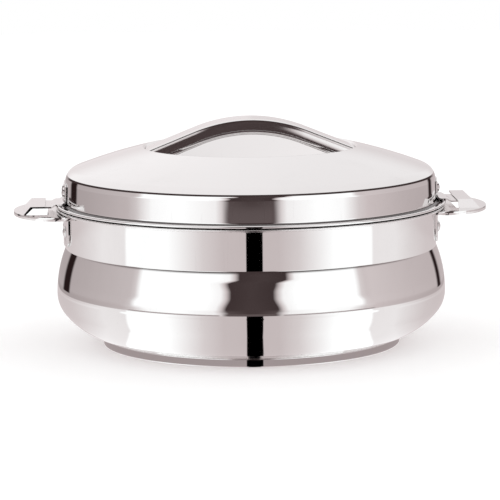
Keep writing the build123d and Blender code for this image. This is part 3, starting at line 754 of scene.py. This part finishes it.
def make_floor():
    """Pale floor that keeps a soft shadow, isn't seen in the steel and hides nothing from
    below."""
    rim = np.column_stack([circle(FLOOR_SIDES), np.zeros(FLOOR_SIDES)]) * FLOOR_RADIUS
    floor, s = stage_mesh("floor", "pale_floor", rim, [list(range(FLOOR_SIDES))])
    matt = s.node("ShaderNodeBsdfDiffuse", {"Color": FLOOR_COLOUR})
    glow = s.node("ShaderNodeEmission", {"Color": FLOOR_GLOW})
    surface = s.node("ShaderNodeAddShader", {0: matt, 1: glow})
    clear = s.node("ShaderNodeBsdfTransparent")
    underside = s.node("ShaderNodeNewGeometry", output="Backfacing")
    hidden = s.math("MAXIMUM", s.reflected(), underside)
    s.show(s.node("ShaderNodeMixShader", {0: hidden, 1: surface, 2: clear}))


def make_foot_card():
    """Low grey ring close round the foot, whose inner side is seen only in the foot's
    reflection: the shadow that the pot stands in. A second reflection passes through it.
    Point (r sin a, -r cos a, h) for two heights h."""
    ring = circle(TURNS) * (FOOT_RADIUS + FOOT_CARD_GAP)
    rings = [np.column_stack([ring, np.full(TURNS, h)]) for h in FOOT_CARD_HEIGHTS]
    low = np.arange(TURNS)
    after = np.roll(low, -1)
    faces = np.stack([low, low + TURNS, after + TURNS, after], 1).tolist()
    card, s = stage_mesh("foot_card", "foot_shade", np.concatenate(rings) * MM, faces)
    at = s.node("ShaderNodeTexCoord", output="Object")
    off_strip = s.size(s.less(s.along(at, RIGHT), FOOT_STRIP_MIDDLE * MM))
    grey = s.past(off_strip, FOOT_STRIP_HALF * MM, FOOT_STRIP_EDGE * MM)
    behind = s.math("LESS_THAN", s.along(at, FRONT), 0.0)
    shade = s.mix(s.math("MAXIMUM", grey, behind), BLACK, shown(FOOT_CARD_LEVEL))
    glow = s.node("ShaderNodeEmission", {"Color": shade})
    clear = s.node("ShaderNodeBsdfTransparent")
    path = s.node("ShaderNodeLightPath").node.outputs
    outer_side = s.node("ShaderNodeNewGeometry", output="Backfacing")
    once = s.math("LESS_THAN", path["Glossy Depth"], 1.5)
    seen = s.product(path["Is Glossy Ray"], s.less(once, outer_side))
    s.show(s.node("ShaderNodeMixShader", {0: seen, 1: clear, 2: glow}))


# ---------------------------------------------------------------- effects
FLOAT, VECTOR = "NodeSocketFloat", "NodeSocketVector"
AT = {"Vector": (VECTOR, None)}
LINE_NOISE = {"Scale": 1.0, "Detail": 3.0, "Roughness": 0.6}
PATCH_NOISE = {"Detail": 4.0, "Roughness": 0.62, "Distortion": 0.4}
PATCHES = (0.48, 0.74)                 # noise where dulling starts and is complete
HAIR_TURN, HAIR_SCALE = (0.3, 0.5, 0.9), (900.0, 900.0, 22.0)
HAIRS, HAIR_SHARE = (0.74, 0.78), 0.6
CELL_SHARE = 0.6


def effect(name, inputs, output, build):
    """Node group with one output: build gets a Shader and the group's inputs, and returns the
    socket to put out."""
    tree = bpy.data.node_groups.new(name, "ShaderNodeTree")
    for label, (kind, value) in inputs.items():
        socket = tree.interface.new_socket(label, in_out="INPUT", socket_type=kind)
        if value is not None:
            socket.default_value = value
    tree.interface.new_socket(output, in_out="OUTPUT", socket_type=FLOAT)
    entry = tree.nodes.new("NodeGroupInput")
    leave = tree.nodes.new("NodeGroupOutput")
    tree.links.new(build(Shader(tree), entry.outputs), leave.inputs[output])
    return tree


def radius_and_height(s, vector):
    """Distance from the axis, height, and the level part of a place."""
    parts = s.node("ShaderNodeSeparateXYZ", {0: vector}).node.outputs
    flat = s.node("ShaderNodeCombineXYZ", {"X": parts["X"], "Y": parts["Y"]})
    return s.vector("LENGTH", flat, output="Value"), parts["Z"], flat


def spun_lines(s, entry):
    """Fine lines round the axis: noise over radius and height that hardly changes with the
    angle, which enters as the point's direction from the axis."""
    radius, height, flat = radius_and_height(s, entry["Vector"])
    around = s.node("ShaderNodeSeparateXYZ", {0: s.vector("NORMALIZE", flat)}).node.outputs
    lines, drift = entry["Lines per metre"], entry["Drift"]
    place = s.node("ShaderNodeCombineXYZ", {"X": s.product(radius, lines),
                                            "Y": s.product(around["X"], drift),
                                            "Z": s.product(around["Y"], drift)})
    inputs = {"Vector": place, "W": s.product(height, lines)} | LINE_NOISE
    return s.node("ShaderNodeTexNoise", inputs, noise_dimensions="4D")


def straight_grain(s, entry):
    """Fine lines along X: noise stretched in that direction."""
    place = s.vector("MULTIPLY", entry["Vector"], entry["Lines per metre"])
    return s.node("ShaderNodeTexNoise", {"Vector": place} | LINE_NOISE)


def handling(s, entry):
    """Where hands and cloths have dulled the polish: soft patches, and a few hairlines."""
    inputs = {"Vector": entry["Vector"], "Scale": entry["Patches per metre"]} | PATCH_NOISE
    patch = s.smooth(s.node("ShaderNodeTexNoise", inputs), *PATCHES)
    inputs = {"Vector": entry["Vector"], "Rotation": HAIR_TURN, "Scale": HAIR_SCALE}
    crossed = s.node("ShaderNodeMapping", inputs)
    hair = s.node("ShaderNodeTexNoise", {"Vector": crossed, "Scale": 1.0, "Detail": 0.0})
    return s.math("MAXIMUM", patch, s.product(s.smooth(hair, *HAIRS), HAIR_SHARE))


def crevice(s, entry):
    """How closed in a place is, within a reach."""
    reach = {"Distance": entry["Reach"]}
    open_share = s.node("ShaderNodeAmbientOcclusion", reach, output="AO", samples=8)
    return s.math("POWER", s.less(1.0, open_share), entry["Sharpness"])


def ring_shade(s, entry):
    """A band round the axis between two radii and two heights, with soft edges."""
    radius, height, _ = radius_and_height(s, entry["Vector"])
    edge = entry["Softness"]

    def past(value, limit):
        return s.smooth(value, s.less(limit, edge), s.total(limit, edge))

    def between(value, low, high):
        return s.less(past(value, entry[low]), past(value, entry[high]))

    return s.product(between(height, "Low", "High"), between(radius, "Inner", "Outer"))


def fine_grain(s, entry):
    """Small bumps of moulded plastic or foam: noise over cells."""
    inputs = {"Vector": entry["Vector"], "Scale": entry["Cells per metre"]}
    cells = s.product(s.node("ShaderNodeTexVoronoi", inputs), CELL_SHARE)
    cloud = s.product(s.node("ShaderNodeTexNoise", inputs | {"Detail": 3.0}), 1 - CELL_SHARE)
    return s.total(cells, cloud)


SPUN = effect("spun_lines", AT | {
    "Lines per metre": (FLOAT, 1500.0), "Drift": (FLOAT, 1.5)}, "Height", spun_lines)
GRAIN = effect("straight_grain", AT | {
    "Lines per metre": (VECTOR, (40.0, 2500.0, 2500.0))}, "Height", straight_grain)
HANDLED = effect("handling", AT | {"Patches per metre": (FLOAT, 18.0)}, "Mask", handling)
CREVICE = effect("crevice", {
    "Reach": (FLOAT, 0.002), "Sharpness": (FLOAT, 1.5)}, "Mask", crevice)
RING = effect("ring_shade", AT | {
    "Inner": (FLOAT, 0.0), "Outer": (FLOAT, 1.0), "Low": (FLOAT, -1.0),
    "High": (FLOAT, 1.0), "Softness": (FLOAT, 0.0001)}, "Mask", ring_shade)
FINE = effect("fine_grain", AT | {"Cells per metre": (FLOAT, 900.0)}, "Height", fine_grain)


# ---------------------------------------------------------------- finishes
PAINTED_SHADE = (0.13, 0.12, 0.12, 1.0)      # painted shade and painted dark reflection in creases and gaps, not a colour the steel has
PAINTED_SHADE_ROUGHNESS = 0.3
WORN_SHARE = 0.97                      # handled steel's colour of its own
CREVICE_REACH, CREVICE_SHARPNESS = 0.0022, 1.6
PIT_ROUGHNESS = 0.12                   # moulded surface's high places above its pits

EDGE_ROUND = 0.00035                   # pressed plates and rivets, at their edges
EDGE_TURN = 32                         # degrees, least turn that is an edge
WELD_DISTANCE = 1e-6


class Finish(Shader):
    """A material: object coordinates, the groups above and one Principled BSDF."""

    def __init__(self, name, metallic):
        self.material = bpy.data.materials.new(name)
        self.material.use_nodes = True
        super().__init__(self.material.node_tree)
        self.shader = self.tree.nodes["Principled BSDF"].inputs
        self.shader["Metallic"].default_value = metallic
        self.at = self.node("ShaderNodeTexCoord", output="Object")

    def use(self, group, **values):
        """A group's output. A value's name is its input's, with _ for a space."""
        made = self.tree.nodes.new("ShaderNodeGroup")
        made.node_tree = group
        for label, value in values.items():
            made.inputs[label.replace("_", " ")].default_value = value
        if "Vector" in made.inputs:
            self.give(made.inputs["Vector"], self.at)
        return made.outputs[0]

    def finish(self, colour, roughness, height, depth):
        bump = {"Height": height, "Distance": depth, "Strength": 1.0}
        self.give(self.shader["Base Color"], colour)
        self.give(self.shader["Roughness"], roughness)
        self.give(self.shader["Normal"], self.node("ShaderNodeBump", bump))
        return self.material


def steel(name, polish, dulled, depth, lines=SPUN, base=STEEL, closed=0.7, shades=(), **spacing):
    """Stainless steel. Its roughness goes from polish to dulled where it is handled, lines are
    a node group with its spacing and a depth in metres, closed is how dark the painted shade
    in a crevice gets, and shades are bands of painted shade."""
    f = Finish(name, 1.0)
    handled = f.use(HANDLED)
    roughness = f.smooth(handled, 0.0, 1.0, polish, dulled)
    worn = tuple(WORN_SHARE * t for t in base[:3]) + (1.0,)
    colour = f.mix(handled, base, worn)
    # Painted shade: the colour darkens where nearby surfaces close the steel in
    hidden = f.use(CREVICE, Reach=CREVICE_REACH, Sharpness=CREVICE_SHARPNESS)
    colour = f.mix(f.product(hidden, closed), colour, PAINTED_SHADE)
    # Painted shade in each band, with the steel rougher there
    for shade in shades:
        mask = f.use(RING, **shade)
        colour = f.mix(mask, colour, PAINTED_SHADE)
        roughness = f.math("MAXIMUM", roughness, f.product(mask, PAINTED_SHADE_ROUGHNESS))
    return f.finish(colour, roughness, f.use(lines, **spacing), depth)


def moulded(name, base, pits, roughness, cells, depth):
    """Plastic or foam with small bumps, a little darker in its pits."""
    f = Finish(name, 0.0)
    height = f.use(FINE, Cells_per_metre=cells)
    roughness = f.smooth(height, 0.2, 0.8, roughness, roughness + PIT_ROUGHNESS)
    return f.finish(f.mix(height, pits, base), roughness, height, depth)


def soften_edges(node):
    """Small rounds on the edges of a node that keeps its own mesh."""
    weld = node.modifiers.new("weld", "WELD")
    weld.merge_threshold = WELD_DISTANCE
    bevel = node.modifiers.new("edges", "BEVEL")
    bevel.width = EDGE_ROUND
    bevel.segments = 2
    bevel.limit_method = "ANGLE"
    bevel.angle_limit = math.radians(EDGE_TURN)
    bevel.use_clamp_overlap = True
    bevel.harden_normals = True


def dress(piece, material):
    piece.data.materials.clear()
    piece.data.materials.append(material)


# ---------------------------------------------------------------- assembly
make_camera()
studio()
make_floor()
make_foot_card()

# Painted dark reflection where the cover's flange meets its skirt, and painted shade under its bead
# and on the liner's edge
flange_shade = {"Inner": (NECK_RADIUS - 0.3) * MM, "Outer": (NECK_RADIUS + 2.2) * MM,
                "Low": (FLANGE_TOP - 0.2) * MM, "High": (FLANGE_TOP + 1.1) * MM}
bead_shade = {"Inner": (NECK_RADIUS + 2) * MM, "High": (LINER_LEVEL + 0.35) * MM}
liner_shade = {"Inner": (BEAD_CENTRE - 3) * MM}

polished = steel("polished_steel", 0.025, 0.045, 1.5e-7, closed=0.15)
foot_polish = steel("foot_steel", 0.08, 0.12, 2e-7, closed=0.0)
lid_polish = steel("lid_steel", 0.03, 0.06, 1.5e-7, shades=[flange_shade, bead_shade])
drawn = steel("drawn_steel", 0.085, 0.13, 4e-7, GRAIN)
pressed = steel("pressed_steel", 0.06, 0.12, 3e-7, GRAIN, Lines_per_metre=(900.0, 900.0, 900.0))
spun = steel("spun_steel", 0.16, 0.24, 1.2e-6, Lines_per_metre=900.0)
satin = steel("satin_steel", 0.24, 0.32, 8e-7, shades=[liner_shade], Lines_per_metre=1200.0)
turned = steel("turned_steel", 0.34, 0.42, 1e-6, base=(0.62, 0.62, 0.62, 1.0),
               Lines_per_metre=3000.0)
plastic = moulded("black_plastic", (0.028, 0.028, 0.028, 1), (0.012, 0.012, 0.012, 1),
                  roughness=0.5, cells=1500.0, depth=2e-5)
foam = moulded("rigid_foam", (0.86, 0.80, 0.62, 1), (0.70, 0.62, 0.42, 1),
               roughness=0.85, cells=700.0, depth=1.2e-4)

shell = revolved_piece("pot_shell", pot_shell(), "pot", "polished_steel", "outer_shell")
bowl = revolved_piece("serving_bowl", serving_bowl(), "pot", "polished_steel", "inner_bowl")
foot = revolved_piece("foot_plate", foot_plate(), "pot", "polished_steel", "base_plate")
cover = revolved_piece("lid_dome", lid_cover(), "lid", "polished_steel", "lid_cover")
liner = revolved_piece("lid_underside", lid_liner(), "lid_inside", "polished_steel", "lid_liner")
dress(shell, polished)
dress(bowl, spun)
dress(foot, foot_polish)
dress(cover, lid_polish)
dress(liner, satin)
for piece in make_grip():
    dress(piece, drawn)
for name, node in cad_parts.items():
    if "foam" in name:
        dress(node, foam)
    elif "plug" in name:
        dress(node, plastic)
    elif name in ("grip_studs", "grip_washers", "grip_nuts"):
        dress(node, turned)
    else:
        dress(node, pressed)
        if not node.hide_render:
            soften_edges(node)

scene = bpy.context.scene
scene.view_settings.view_transform = "Standard"
